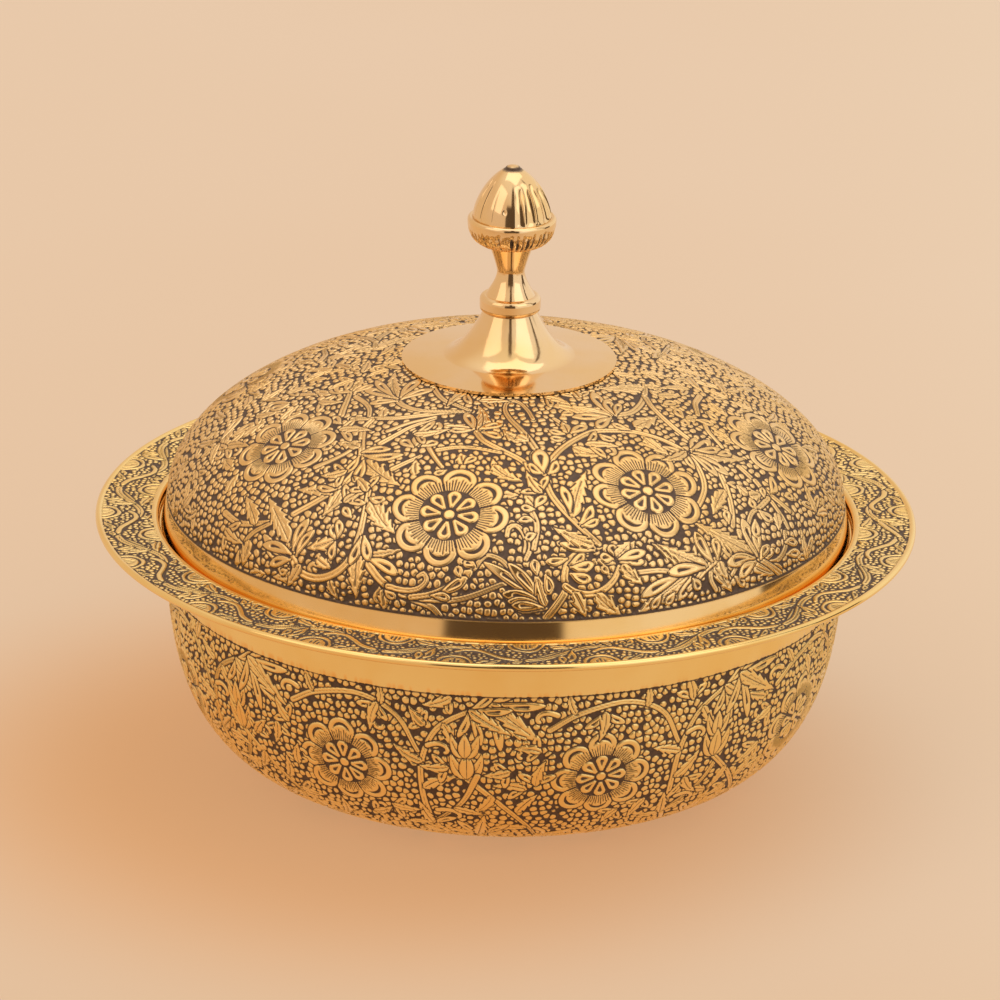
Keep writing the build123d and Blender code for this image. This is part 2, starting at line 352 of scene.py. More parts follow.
right_vines = (
    (1.5, (37, 84), (39, 76), (43, 68), (49, 60), (56, 53), (64, 50), (74, 48), (84, 49), (93, 52), (99, 57),
     (103, 64), (105, 72), (104, 80), (102, 86)), (1.5, (66, 37), (72, 33), (76, 25), (78, 15), (78, 4)),
    (1.4, (78, 16), (81, 24), (86, 32), (92, 39), (98, 44)), (1.4, (102, 2), (100, 11), (101, 21)),
    (1.4, (120, 50), (127, 54), (135, 57), (147, 58)), (1.3, (128, 54), (136, 60), (148, 67)),
    (1.4, (111, 59), (114, 65), (117, 73), (119, 80), (120, 86)), (1.1, (104, 27), (106, 33), (112, 41)),
    (1.5, (37, 88), (40, 96), (45, 103), (52, 110), (61, 117)),
    (1.2, (135, 60), (132, 67), (128, 74), (127, 82)), (1.4, (116, 104), (111, 112), (106, 123)),
    (1.4, (153, 88), (145, 90), (137, 92)), (1.2, (47, 53), (43, 49), (40, 46)),
)
# Leaves: foot, tip, width, how far they bow, and 1 for a blunt one or 0 for a serrated one
left_leaves = (
    (30, 100, 25, 74, 3.4, -0.05, 0), (30, 106, 20, 92, 2.2, -0.25, 1), (31, 105, 38, 92, 2.2, 0.2, 1),
    (32, 108, 40, 98, 2.0, 0.25, 1), (29, 108, 18, 102, 2.0, -0.2, 1), (15, 83, 14, 66, 2.8, -0.1, 0),
    (10, 88, 2, 96, 2.6, 0.1, 0), (65, 64, 76, 61, 2.2, 0.35, 1), (66, 66, 80, 74, 2.4, -0.3, 1),
    (66, 69, 80, 90, 3.2, -0.1, 0), (66, 69, 64, 82, 2.2, 0.15, 1), (64, 66, 60, 76, 1.8, 0.2, 1),
    (64, 60, 56, 52, 2.6, -0.2, 0), (56, 82, 36, 78, 2.8, 0.12, 0), (56, 84, 49, 96, 2.8, 0.15, 0),
    (54, 83, 45, 80, 1.6, 0.2, 1), (52, 108, 38, 108, 2.4, 0.1, 0), (52, 108, 50, 101, 1.8, 0.2, 1),
    (53, 108, 56, 100, 1.8, -0.2, 1), (52, 109, 47, 115, 1.8, -0.2, 1), (69, 93, 76, 114, 3.4, -0.15, 0),
    (68, 92, 74, 96, 2.0, -0.2, 1), (64, 110, 59, 122, 2.0, 0.15, 1), (65, 110, 66, 122, 2.0, 0, 1),
    (42, 113, 47, 120, 2.2, -0.1, 0), (33, 112, 23, 118, 2.0, 0.1, 0), (80, 27, 78, 2, 3.0, 0.05, 0),
    (80, 27, 69, 10, 2.4, -0.22, 1), (81, 26, 87, 10, 2.4, 0.2, 1), (81, 28, 92, 18, 2.4, 0.25, 1),
    (80, 29, 69, 24, 2.0, -0.25, 1), (78, 24, 72, 6, 1.8, -0.1, 1), (74, 40, 74, 33, 2.4, 0.15, 0),
    (120, 76, 120, 86, 1.8, -0.45, 1), (120, 80, 130, 92, 2.8, -0.25, 0), (141, 84, 138, 69, 3.4, 0, 1),
    (140, 84, 132, 82, 2.0, 0.5, 1), (88, 83, 87, 74, 2.2, 0.15, 0), (87, 66, 83, 59, 2.2, -0.2, 1),
    (88, 65, 89, 58, 2.2, 0, 1), (90, 66, 96, 62, 2.2, 0.25, 1), (108, 79, 106, 72, 2.4, 0.1, 0),
    (108, 79, 112, 74, 1.8, 0.2, 1), (132, 64, 123, 58, 2.6, 0.2, 0), (111, 56, 98, 51, 2.4, -0.1, 0),
    (112, 56, 101, 57, 1.8, 0.15, 1), (114, 57, 118, 38, 2.8, -0.25, 0), (112, 56, 110, 43, 2.2, -0.1, 1),
    (114, 56, 122, 50, 2.2, 0.25, 1), (115, 58, 124, 60, 2.0, 0.2, 1), (121, 96, 131, 98, 2.0, -0.1, 0),
    (138, 103, 134, 96, 2.2, -0.1, 0), (138, 103, 141, 96, 2.0, 0.15, 1), (138, 104, 132, 104, 1.8, 0.1, 1),
    (33, 9, 23, 2, 2.6, -0.2, 1), (33, 10, 24, 11, 2.4, 0.3, 1), (52, 11, 43, 6, 2.4, 0.2, 0),
    (60, 13, 64, 2, 2.8, 0.1, 0), (60, 14, 52, 6, 2.2, -0.2, 1), (61, 15, 68, 9, 2.0, 0.2, 1),
    (2, 20, 6, 6, 3.0, 0.1, 0), (6, 18, 17, 13, 2.4, 0.25, 1), (1, 15, 10, 2, 2.2, 0.1, 1),
    (12, 23, 21, 18, 2.4, 0.2, 0), (6, 42, 2, 32, 2.6, 0.1, 0), (3, 56, 8, 48, 2.4, 0.2, 0),
    (56, 40, 52, 33, 2.0, 0.1, 1), (47, 56, 52, 54, 2.0, 0.1, 1), (101, 82, 96, 85, 1.6, 0.2, 1),
    (50, 70, 47, 69, 2.2, 0.1, 1), (60, 100, 56, 94, 1.8, 0.1, 1), (3, 101, 13, 105, 2.0, 0.1, 0),
)
right_leaves = (
    (98, 52, 124, 43, 3.4, -0.05, 0), (98, 52, 102, 42, 2.4, -0.2, 1), (98, 51, 108, 41, 2.4, -0.15, 1),
    (100, 50, 112, 44, 2.0, -0.1, 1), (98, 54, 116, 54, 2.4, 0.2, 1), (98, 54, 112, 59, 2.0, 0.2, 1),
    (64, 39, 38, 31, 3.4, -0.1, 0), (65, 38, 53, 22, 2.6, 0.15, 1), (66, 38, 60, 26, 2.4, 0.1, 1),
    (66, 37, 66, 27, 1.8, 0.1, 1), (64, 40, 48, 40, 2.6, -0.2, 1), (64, 40, 56, 48, 2.4, -0.2, 1),
    (135, 92, 102, 95, 3.6, 0.08, 0), (136, 92, 122, 82, 2.6, 0.15, 1), (137, 90, 128, 81, 2.4, 0.25, 1),
    (135, 93, 120, 101, 2.6, -0.2, 1), (136, 94, 128, 104, 2.4, -0.2, 1), (138, 92, 138, 83, 2.0, 0.2, 1),
    (114, 107, 101, 101, 2.6, 0.25, 1), (112, 110, 87, 112, 3.0, 0.1, 0), (111, 111, 93, 118, 2.4, -0.15, 1),
    (116, 105, 113, 96, 2.0, -0.1, 1), (117, 105, 123, 111, 2.2, -0.2, 0), (49, 106, 51, 80, 3.2, 0.08, 0),
    (48, 104, 46, 90, 2.0, -0.15, 1), (52, 109, 60, 102, 2.4, -0.4, 1), (53, 110, 61, 107, 1.8, -0.2, 1),
    (59, 118, 41, 114, 2.6, 0.1, 0), (48, 66, 62, 70, 3.0, -0.15, 0), (74, 44, 82, 32, 3.4, 0.1, 0),
    (78, 51, 88, 60, 3.0, -0.1, 0), (59, 54, 64, 59, 2.0, -0.3, 1), (72, 47, 64, 46, 1.8, 0.2, 1),
    (36, 84, 34, 69, 3.2, 0, 1), (36, 84, 29, 82, 2.2, 0.5, 1), (38, 84, 44, 78, 2.2, -0.4, 1),
    (77, 7, 60, 16, 3.6, 0.1, 0), (79, 6, 86, 2, 2.6, 0.2, 0), (80, 9, 85, 13, 2.0, -0.2, 1),
    (95, 28, 90, 22, 2.2, 0.2, 1), (96, 28, 101, 24, 2.4, -0.1, 0), (95, 28, 96, 33, 2.0, 0.1, 1),
    (100, 26, 108, 24, 2.0, 0.1, 1), (108, 31, 118, 34, 2.8, 0.1, 0), (106, 6, 114, 14, 2.6, -0.1, 0),
    (105, 15, 110, 20, 2.0, 0.1, 1), (114, 69, 108, 85, 2.8, -0.1, 0), (115, 64, 120, 62, 1.8, 0.2, 1),
    (125, 65, 119, 63, 2.2, 0.1, 0), (126, 65, 131, 60, 2.4, 0.1, 0), (126, 66, 129, 70, 2.0, 0.1, 1),
    (131, 70, 139, 72, 2.2, -0.2, 1), (130, 76, 133, 84, 2.2, 0.1, 1), (136, 56, 140, 47, 2.4, -0.5, 1),
    (140, 65, 144, 72, 2.2, 0.1, 0), (133, 61, 131, 56, 1.6, 0.1, 1), (69, 121, 66, 116, 2.0, 0, 1),
    (69, 121, 75, 113, 2.6, -0.1, 0), (70, 122, 81, 114, 2.0, 0.1, 1), (68, 122, 62, 123, 2.0, 0.1, 1),
    (118, 86, 115, 80, 1.8, 0.1, 1), (110, 48, 115, 42, 1.8, 0.2, 1), (46, 56, 44, 48, 2.2, -0.1, 0),
    (47, 56, 52, 48, 2.2, 0.2, 1), (45, 60, 39, 62, 2.0, 0.2, 1), (45, 57, 38, 56, 1.8, 0.1, 1),
    (25, 60, 30, 64, 2.4, 0, 0), (43, 43, 47, 39, 2.0, 0.2, 1), (129, 33, 124, 29, 2.0, 0.1, 1),
    (86, 20, 90, 14, 2.0, 0.2, 1), (84, 13, 93, 6, 2.2, 0.1, 0), (118, 26, 114, 20, 2.0, 0.1, 1),
    (143, 52, 147, 48, 2.0, 0.1, 1), (106, 118, 112, 120, 2.0, 0.1, 1), (33, 110, 27, 108, 1.8, -0.3, 1),
    (34, 116, 29, 118, 1.8, -0.2, 1),
)

# The lowest part of the lid's drawing, placed by pixels of the picture: stems and leaves, as above
foot_vines = (
    (1.3, (535, 447), (528, 437), (519, 427), (510, 418), (505, 409), (507, 402), (514, 400), (521, 403),
     (528, 410), (533, 418)), (1.3, (526, 552), (527, 541), (523, 531), (516, 525), (509, 527), (507, 535)),
    (1.5, (359, 542), (350, 555), (338, 568), (328, 576), (314, 580), (302, 576), (293, 566), (288, 556),
     (287, 542)),
    (1.7, (359, 540), (364, 556), (372, 570), (382, 582), (400, 594), (420, 602), (432, 608), (440, 617)),
    (1.2, (400, 594), (416, 598), (440, 600), (458, 599), (476, 594), (502, 584), (518, 581)),
    (1.2, (410, 597), (430, 594), (448, 586), (460, 577), (474, 568), (480, 560), (488, 555), (502, 560),
     (514, 573)), (1.2, (387, 586), (404, 590), (418, 588), (426, 580), (423, 573), (418, 576)),
    (1.1, (318, 578), (310, 574), (308, 567), (312, 563), (318, 566)),
    (1.6, (547, 618), (558, 604), (566, 590), (565, 576), (568, 563), (576, 554), (590, 550), (600, 546)),
    (1.5, (566, 586), (576, 592), (590, 594), (603, 590), (614, 580), (620, 567)),
    (1.3, (722, 550), (712, 562), (698, 570), (682, 572), (660, 570), (638, 572)),
    (1.2, (786, 532), (787, 547), (780, 559), (768, 562), (750, 559), (740, 564), (734, 574)),
    (1.3, (722, 550), (714, 566), (712, 578), (718, 590)), (1.2, (526, 529), (531, 545), (526, 559)),
    (1.1, (502, 590), (520, 610), (546, 608)),
)
foot_leaves = (
    (357, 549, 356, 599, 3.1, 0.02, 0), (328, 579, 334, 600, 1.8, -0.15, 0),
    (299, 574, 271, 580, 2.2, 0.1, 0), (288, 563, 263, 552, 1.8, 0.15, 1), (288, 558, 259, 542, 2.0, 0.2, 1),
    (366, 554, 402, 552, 1.6, -0.1, 0), (367, 558, 400, 567, 2.2, 0.2, 1), (379, 587, 376, 603, 2.0, 0, 1),
    (382, 589, 385, 611, 2.2, 0.1, 0), (384, 590, 393, 600, 1.6, -0.2, 1), (252, 532, 238, 568, 2.2, 0.2, 1),
    (448, 588, 470, 568, 2.0, 0.1, 1), (438, 594, 468, 580, 2.0, -0.1, 1), (430, 595, 450, 596, 1.6, 0.1, 1),
    (460, 577, 456, 566, 1.8, 0.1, 1), (476, 566, 464, 560, 1.8, -0.1, 1), (284, 549, 274, 534, 1.8, 0.2, 1),
    (290, 548, 299, 532, 1.8, -0.2, 1), (286, 570, 278, 573, 1.4, 0, 1), (330, 577, 342, 565, 1.6, 0.1, 1),
    (545, 607, 492, 556, 2.0, -0.12, 1), (544, 605, 514, 560, 2.2, -0.1, 1),
    (542, 603, 506, 586, 2.2, -0.2, 1), (542, 605, 509, 596, 1.8, -0.15, 1), (544, 607, 512, 605, 1.8, 0, 1),
    (546, 606, 534, 572, 2.0, 0.05, 0), (545, 574, 555, 592, 2.0, 0.25, 1), (537, 575, 534, 559, 1.9, 0, 1),
    (569, 565, 587, 557, 1.8, -0.2, 1), (570, 567, 594, 570, 2.2, -0.25, 1),
    (570, 573, 590, 584, 2.2, -0.2, 1), (574, 592, 588, 617, 2.4, 0.05, 0),
    (596, 594, 620, 618, 3.0, -0.1, 0), (596, 549, 562, 534, 2.4, 0.1, 0), (595, 550, 560, 546, 1.8, 0.1, 1),
    (568, 558, 547, 565, 1.7, 0.15, 1), (618, 561, 602, 546, 2.0, 0.15, 1), (618, 560, 612, 544, 1.7, 0, 1),
    (619, 560, 637, 542, 2.4, -0.1, 0), (620, 562, 643, 556, 2.0, 0.2, 1),
    (622, 565, 642, 586, 2.6, -0.1, 0), (616, 563, 598, 558, 1.7, -0.1, 1),
    (698, 566, 652, 546, 3.2, 0.08, 0), (693, 572, 629, 615, 3.0, -0.08, 0),
    (683, 574, 640, 592, 2.2, -0.1, 1), (692, 576, 684, 602, 2.0, 0.2, 1), (696, 574, 702, 590, 1.6, 0.1, 1),
    (716, 565, 732, 594, 2.6, -0.1, 0), (700, 566, 692, 540, 2.4, 0.35, 1),
    (708, 564, 705, 542, 1.6, -0.3, 1), (756, 558, 710, 536, 2.8, 0.05, 0),
    (757, 556, 736, 530, 2.2, 0.1, 1), (759, 558, 756, 532, 2.0, 0, 1), (747, 556, 722, 554, 2.6, 0.3, 1),
    (751, 562, 778, 578, 2.4, -0.1, 0), (762, 562, 774, 546, 1.9, 0.1, 1), (736, 576, 748, 584, 1.8, 0.1, 1),
    (770, 563, 784, 572, 1.8, -0.1, 1), (662, 594, 654, 610, 1.7, 0.1, 1), (676, 592, 668, 606, 1.7, 0.1, 1),
    (610, 574, 602, 566, 1.6, 0, 1), (786, 542, 798, 538, 1.8, 0.2, 1), (788, 554, 802, 550, 1.8, 0.1, 1),
)


def drawn(corner, u, v, half):
    """Angle and arc length of a place in the lid's drawing."""
    x, y = corner[0] + u * drawing_square, corner[1] - v * drawing_square
    return math.atan2(y, x) + half * math.pi, math.hypot(x, y)


def on_lid(px, py, half):
    """Angle and arc length of the place on the lid that the camera sees at a pixel."""
    eye, across, up, back = camera_axes()
    centre = picture_size / 2
    aim = across * (px - centre) / focal_pixels - up * (py - centre) / focal_pixels - back
    run = np.linspace(*ray_search)[:, None]
    ray = np.array(eye) / mm + run * np.array(aim)
    line = dome_line(0)
    reach = np.interp(ray[:, 2], line[::-1, 1], line[::-1, 0], right=0)
    hit = int(np.argmax(np.hypot(ray[:, 0], ray[:, 1]) < reach))
    arc_length = np.interp(ray[hit, 2], line[::-1, 1], lengths(line)[::-1])
    return math.atan2(ray[hit, 1], ray[hit, 0]) + half * math.pi, arc_length


def lid_stem(band, spots, width, start):
    """A stem of the lid's drawing that narrows from a start width. The thinnest ones have no groove."""
    spots = np.array(spots)
    spots[:, 0] = np.unwrap(spots[:, 0])
    vine(band, spots, start, width * 0.8, width > 1.15)


def chase_lid(band):
    for half in (0, 1):
        for width, *places in foot_vines:
            lid_stem(band, [on_lid(px, py, half) for px, py in places], width, width * 1.1)
        for a, b, c, d, width, bow, blunt in foot_leaves:
            leaf_between(band, on_lid(a, b, half), on_lid(c, d, half), width, bow, blunt)
        for corner, vines in ((left_corner, left_vines), (right_corner, right_vines)):
            for width, *places in vines:
                lid_stem(band, [drawn(corner, u, v, half) for u, v in places], width, width * 1.15)
        for corner, leaves in ((left_corner, left_leaves), (right_corner, right_leaves)):
            for a, b, c, d, width, bow, blunt in leaves:
                foot, tip = drawn(corner, a, b, half), drawn(corner, c, d, half)
                leaf_between(band, foot, tip, width, bow, blunt)
        for x, y, size in lid_flowers:
            spot = math.atan2(y, x) + half * math.pi, math.hypot(x, y)
            flower(band, spot, size, chance.uniform(-0.06, 0.06))
    fill(band)
    pearl(band)


# The drawing of one eighth of the bowl, across from its flower and down from it
bowl_repeats, bowl_first_flower, bowl_flower_depth = 8, -72.7, 29.0
bowl_vines = (
    (1.5, (21, 17), (19.5, 5), (20, -5), (24, -14), (33, -20)),
    (1.4, (-13, -14), (-6, -18), (5, -20), (14, -16), (19, -7)),
    (1.3, (-33, -1), (-24, 8), (-17, 17), (-14, 24)), (1.3, (33, -1), (29, 8), (22, 16)),
    (1.2, (21, 17), (25, 26), (22, 34)),
)
# Place, heading and size, with a spray's number of leaves and a curl's hand
bowl_sprays = (
    (31, -19, 40, 12, 5), (-27, -21, 35, 16, 5), (21, 18, 250, 10, 3), (-14, 24, 60, 14, 5),
    (24, 28, 130, 13, 5), (4, 32, -90, 13, 5), (-30, 24, -80, 12, 5),
)
bowl_leaves = (
    (20, -4, 200, 8), (20, 4, -40, 9), (25, -15, 60, 8), (-20, 11, -60, 8), (-26, 5, 110, 8),
    (27, 10, 20, 7), (-17, -12, 200, 8), (10, -18, -80, 6), (-7, -18, -120, 6), (23, 24, 30, 8),
    (-17, 18, 180, 8),
)
bowl_buds = ((-32, 0, -90, 8), (30, -6, -90, 7))
bowl_curls = (
    (21, 12, -20, 9, 1), (-24, 8, 170, 8, -1), (-16, 18, 30, 8, 1), (20, -8, -30, 8, 1),
    (-10, -17, -150, 8, -1), (24, 30, -10, 8, -1),
)


def chase_bowl(band):
    for repeat in range(bowl_repeats):
        centre = turn * (bowl_first_flower + 360 / bowl_repeats * repeat) / 360

        def spot(x, y):
            radius = band.radius_at(bowl_flower_depth)
            return centre + x / radius, bowl_flower_depth + y

        for width, *places in bowl_vines:
            vine(band, [spot(x, y) for x, y in places], width, width * 0.7, width > 1.25)
        for x, y, heading, size, hand in bowl_curls:
            curl(band, spot(x, y), math.radians(heading), size, hand)
        for x, y, heading, size in bowl_leaves:
            leaf(band, spot(x, y), math.radians(heading), size, size * 0.36, chance.uniform(-0.3, 0.3), 4)
        for x, y, heading, size, lobes in bowl_sprays:
            spray(band, spot(x, y), math.radians(heading + chance.uniform(-6, 6)), size, lobes)
        for x, y, heading, size in bowl_buds:
            bud(band, spot(x, y), math.radians(heading), size)
        flower(band, spot(0, 0), 12.2, chance.uniform(-0.1, 0.1))
    fill(band)
    pearl(band)


rim_repeats = 18
rim_wave = 3.4
# One repeat of the rim, from an outer half flower to the next: share of the repeat, and distance out from its
# middle
rim_strand = ((-0.01, -0.7), (0.05, -2.0), (0.14, -2.1), (0.23, -0.3), (0.32, 2.0), (0.42, 3.1))
rim_twig = ((0.43, 4.9), (0.54, 2.9), (0.65, 0.7), (0.75, -0.9))
# Leaves: foot, tip, width, how far they bow, and 1 for a blunt one
rim_leaves = (
    (-0.17, -1.9, -0.19, 5.0, 1.9, 0.12, 1), (-0.26, 5.6, -0.25, 1.2, 1.7, -0.1, 1),
    (0.14, 5.6, 0.24, 3.5, 1.8, 0.35, 1), (0.19, 5.8, 0.33, 4.6, 1.3, -0.3, 1),
    (0.66, -5.4, 0.86, -2.2, 1.9, -0.2, 0), (0.63, -5.6, 0.66, -2.4, 1.5, 0.2, 1),
    (0.33, -5.7, 0.28, -2.6, 1.6, 0.2, 1), (0.25, -5.7, 0.23, -3.6, 1.3, -0.2, 1),
    (0.08, -5.7, 0.17, -4.2, 1.3, 0.3, 1), (0.47, 3.6, 0.4, 5.5, 1.3, 0.2, 1),
)


def half_flower(band, angle, edge):
    """A hatched boss and a scalloped ring round it, cut in half by the edge of the strip."""
    where, x, y = band.patch(angle, edge, 6.5, 6.5)
    far = np.hypot(x * 1.12, y)
    band.raise_up(where, far - 4.75 - 0.4 * np.abs(np.cos(np.arctan2(y, x) * 2.5)), 0.0, 0.3)
    band.cut(where, np.abs(far - 3.75) - 0.3, 1.0)
    ragged = far - 2.5 - 0.5 * np.cos(x * 2.1)
    band.cut(where, np.maximum(np.abs(x / 0.92 - np.round(x / 0.92)) * 0.92 - 0.15, ragged), 0.85)


def chase_rim(band):
    middle, step = band.along.mean(), turn / rim_repeats
    for k in range(rim_repeats):
        start = (k + 0.17) * step

        def spot(share, out):
            return start + share * step, middle + out

        wave = [spot(a, -rim_wave * math.cos(turn * a)) for a in np.linspace(-0.5, 0.55, 12)]
        vine(band, wave, 1.6, 1.4)
        vine(band, [spot(*place) for place in rim_strand], 1.1, 1.4, False)
        vine(band, [spot(*place) for place in rim_twig], 1.2, 1.4, False)
        for a, b, c, d, width, bow, blunt in rim_leaves:
            leaf_between(band, spot(a, b), spot(c, d), width, bow, blunt)
        half_flower(band, start, band.along[-1] + 0.2)
        half_flower(band, start + step / 2, band.along[0] - 0.2)
    pearl(band, 0.6, 1.36, 0.72, 0.26)


def arc(centre, radius, start, end, count=5):
    """Points on a part of a circle in the profile, angles in degrees."""
    angles = np.radians(np.linspace(start, end, count))
    return np.stack([centre[0] + radius * np.cos(angles), centre[1] + radius * np.sin(angles)], 1)


def lengths(line):
    """Distance along a line to each of its points."""
    return np.concatenate([[0], np.cumsum(np.hypot(*np.diff(line, axis=0).T))])


def even(line, pitch):
    """The same line with even points about a pitch apart."""
    line = np.array(line, float)
    run = lengths(line)
    stations = np.linspace(0, run[-1], max(2, int(round(run[-1] / pitch)) + 1))
    return np.stack([np.interp(stations, run, line[:, i]) for i in (0, 1)], 1)


def split_at(line, low, high):
    """The parts of a dense line before, between and after two distances along it."""
    run = lengths(line)
    cuts = [np.stack([np.interp(place, run, line[:, i]) for i in (0, 1)]) for place in (low, high)]
    before = np.vstack([line[run < low], cuts[:1]])
    between = np.vstack([cuts[:1], line[(run > low) & (run < high)], cuts[1:]])
    after = np.vstack([cuts[1:], line[run > high]])
    return before, between, after


def outward(profile, closed):
    """Directions at right angles to a profile, on its left."""
    if closed:
        ahead, behind = np.roll(profile, -1, 0), np.roll(profile, 1, 0)
    else:
        ahead, behind = np.vstack([profile[1:], profile[-1:]]), np.vstack([profile[:1], profile[:-1]])
    step = ahead - behind
    step /= np.maximum(np.hypot(*step.T), 1e-9)[:, None]
    return np.stack([-step[:, 1], step[:, 0]], 1)


def spun(name, parts, closed, bands):
    """A sheet revolved about the axis. parts are the runs of its profile, and bands gives the relief of some of
    them. A profile that isn't closed ends on the axis at both ends."""
    rows, relief, cavity_and_shade = [], [], []
    for index, part in enumerate(parts):
        part = part if index == 0 else part[1:]
        rows.append(part)
        band = bands.get(index)
        level = np.zeros((len(part), columns)) if band is None else band.level[-len(part):]
        relief.append(level)
        cavity_and_shade.append(-level if band is None else (band.stain_and_shade - band.level * band.tone)[-len(part):])
    profile, relief, cavity_and_shade = np.vstack(rows), np.vstack(relief), np.vstack(cavity_and_shade)
    if closed:
        profile, relief, cavity_and_shade = profile[:-1], relief[:-1], cavity_and_shade[:-1]
    normal = outward(profile, closed)
    height = relief * relief_depth
    radius = profile[:, :1] + normal[:, :1] * height
    z = profile[:, 1:] + normal[:, 1:] * height
    points = np.stack([radius * np.cos(column_angles), radius * np.sin(column_angles), z], 2) * mm
    n = len(profile)
    if not closed:
        points, cavity_and_shade = points[1:-1], cavity_and_shade[1:-1]
        n -= 2
    verts, cavity_and_shade = points.reshape(-1, 3), cavity_and_shade.reshape(-1)
    i = np.arange(n if closed else n - 1)[:, None] * columns
    j = np.arange(columns)[None, :]
    after = (j + 1) % columns
    below = (i + columns) % (n * columns)
    quads = np.stack([i + j, below + j, below + after, i + after], 2).reshape(-1, 4)
    faces, sizes = [quads.reshape(-1)], [np.full(len(quads), 4)]
    if not closed:
        poles = np.array([[0, 0, profile[0, 1]], [0, 0, profile[-1, 1]]]) * mm
        verts = np.vstack([verts, poles])
        cavity_and_shade = np.concatenate([cavity_and_shade, [0, 0]])
        first, last = n * columns, n * columns + 1
        ring = np.arange(columns)
        beside, end = (ring + 1) % columns, (n - 1) * columns
        faces.append(np.stack([np.full(columns, first), ring, beside], 1).reshape(-1))
        faces.append(np.stack([np.full(columns, last), beside + end, ring + end], 1).reshape(-1))
        sizes += [np.full(columns, 3), np.full(columns, 3)]
    piece = mesh_object(name, verts, np.concatenate(faces), np.concatenate(sizes), cavity_and_shade)
    unwrap(piece, n, len(quads))
    return piece


def unwrap(piece, rows, quads):
    """A map for the colours: round the axis by columns, and along the profile by rows."""
    low = np.arange(quads) // columns
    left = np.arange(quads) % columns
    u = np.stack([left, left, left + 1, left + 1], 1) / columns
    v = np.stack([low, low + 1, low + 1, low], 1) / rows
    flat = np.stack([u, v], 2).reshape(-1)
    layer = piece.data.uv_layers.new(name="OFBake")
    full = np.full(len(piece.data.loops) * 2, 0.5, np.float32)
    full[:len(flat)] = flat
    if len(full) > len(flat):
        ring = np.arange(columns) / columns
        ends = []
        for at, edge, sign in ((0.0, 0.0, 1), (1.0, (rows - 1) / rows, -1)):
            near = ring if sign > 0 else ring + 1 / columns
            far = ring + 1 / columns if sign > 0 else ring
            pole, side = np.full(columns, at), np.full(columns, edge)
            ends.append(np.stack([ring, pole, near, side, far, side], 1))
        full[len(flat):] = np.concatenate([part.reshape(-1) for part in ends])
    layer.data.foreach_set("uv", full)


def add_object(name, data):
    thing = bpy.data.objects.new(name, data)
    bpy.context.scene.collection.objects.link(thing)
    return thing


def mesh_object(name, verts, corners, sizes, cavity_and_shade):
    """A smooth mesh from flat arrays, with the depth of its cuts and its surface darkening on its points."""
    mesh = bpy.data.meshes.new(name)
    mesh.vertices.add(len(verts))
    mesh.vertices.foreach_set("co", np.ascontiguousarray(verts, np.float32).reshape(-1))
    mesh.loops.add(len(corners))
    mesh.loops.foreach_set("vertex_index", corners.astype(np.int32))
    mesh.polygons.add(len(sizes))
    starts = np.concatenate([[0], np.cumsum(sizes)[:-1]]).astype(np.int32)
    mesh.polygons.foreach_set("loop_start", starts)
    mesh.attributes.new("cavity_and_shade", "FLOAT", "POINT").data.foreach_set("value", cavity_and_shade.astype(np.float32))
    mesh.update(calc_edges=True)
    mesh.validate()
    mesh.polygons.foreach_set("use_smooth", np.ones(len(sizes), bool))
    mesh.update()
    return add_object(name, mesh)


# Profiles
def dome_line(depth):
    """The lid's dome from its crown to its band, at a depth below the outside."""
    return bezier([
        (0, crown_height - depth),
        (crown_pull - quarter_handle * depth, crown_height - depth),
        (lid_radius - depth, band_top + shoulder_pull - quarter_handle * depth),
        (lid_radius - depth, band_top),
    ], 3000)


def trim(band, low, high, ragged=0.3):
    """Ends the relief raggedly a little inside the strip's two edges."""
    for place, inset in ((band.along[0], low), (band.along[-1], high)):
        wave = sum(np.sin(column_angles * k + chance.uniform(0, turn)) for k in ragged_waves) * ragged / 4
        off = np.abs(band.along - place)[:, None]
        band.level *= smooth(0, row_pitch, off - (inset + np.maximum(wave, -inset) if inset > 0.1 else 0))


def flared(line):
    """A side of the lid, its band opened a little downwards so that it mirrors the room over the rim."""
    top = band_top + chased_above_band
    shift = np.interp(line[:, 1], (lid_foot, top, top + flare_fade), (flare_foot, flare_top, 0))
    return np.stack([line[:, 0] + shift, line[:, 1]], 1)


def build_lid():
    outside, inside = dome_line(0), dome_line(sheet)
    outside = outside[outside[:, 0] >= bore_radius]
    inside = flared(inside[inside[:, 0] >= bore_radius][::-1])
    chased_to = lengths(outside)[-1] - chased_above_band
    crown, chased, shoulder = split_at(outside, chased_from - bore_radius, chased_to)
    chased = flared(even(chased, row_pitch))
    band = Band(lengths(chased) + chased_from, chased[:, 0])
    chase_lid(band)
    trim(band, 0, 0.3)
    band.stain_and_shade = 0.85 * smooth(0.9, 0.3, band.along[-1] - band.along)[:, None]
    outer = flared(even(np.vstack([shoulder, [(lid_radius, lid_foot + edge_round)]]), plain_pitch / 4))
    foot = lid_radius + flare_foot
    lip = np.array([outer[-1], (foot - edge_round, lid_foot), (foot - sheet + edge_round, lid_foot),
                    (foot - sheet, lid_foot + edge_round)])
    inner = even(np.vstack([lip[-1:], inside]), plain_pitch)
    hole = np.array([inside[-1], outside[0]])
    parts = [inner, hole, even(crown, plain_pitch), chased, outer, lip]
    return spun("lid_chased", parts, True, {3: band})


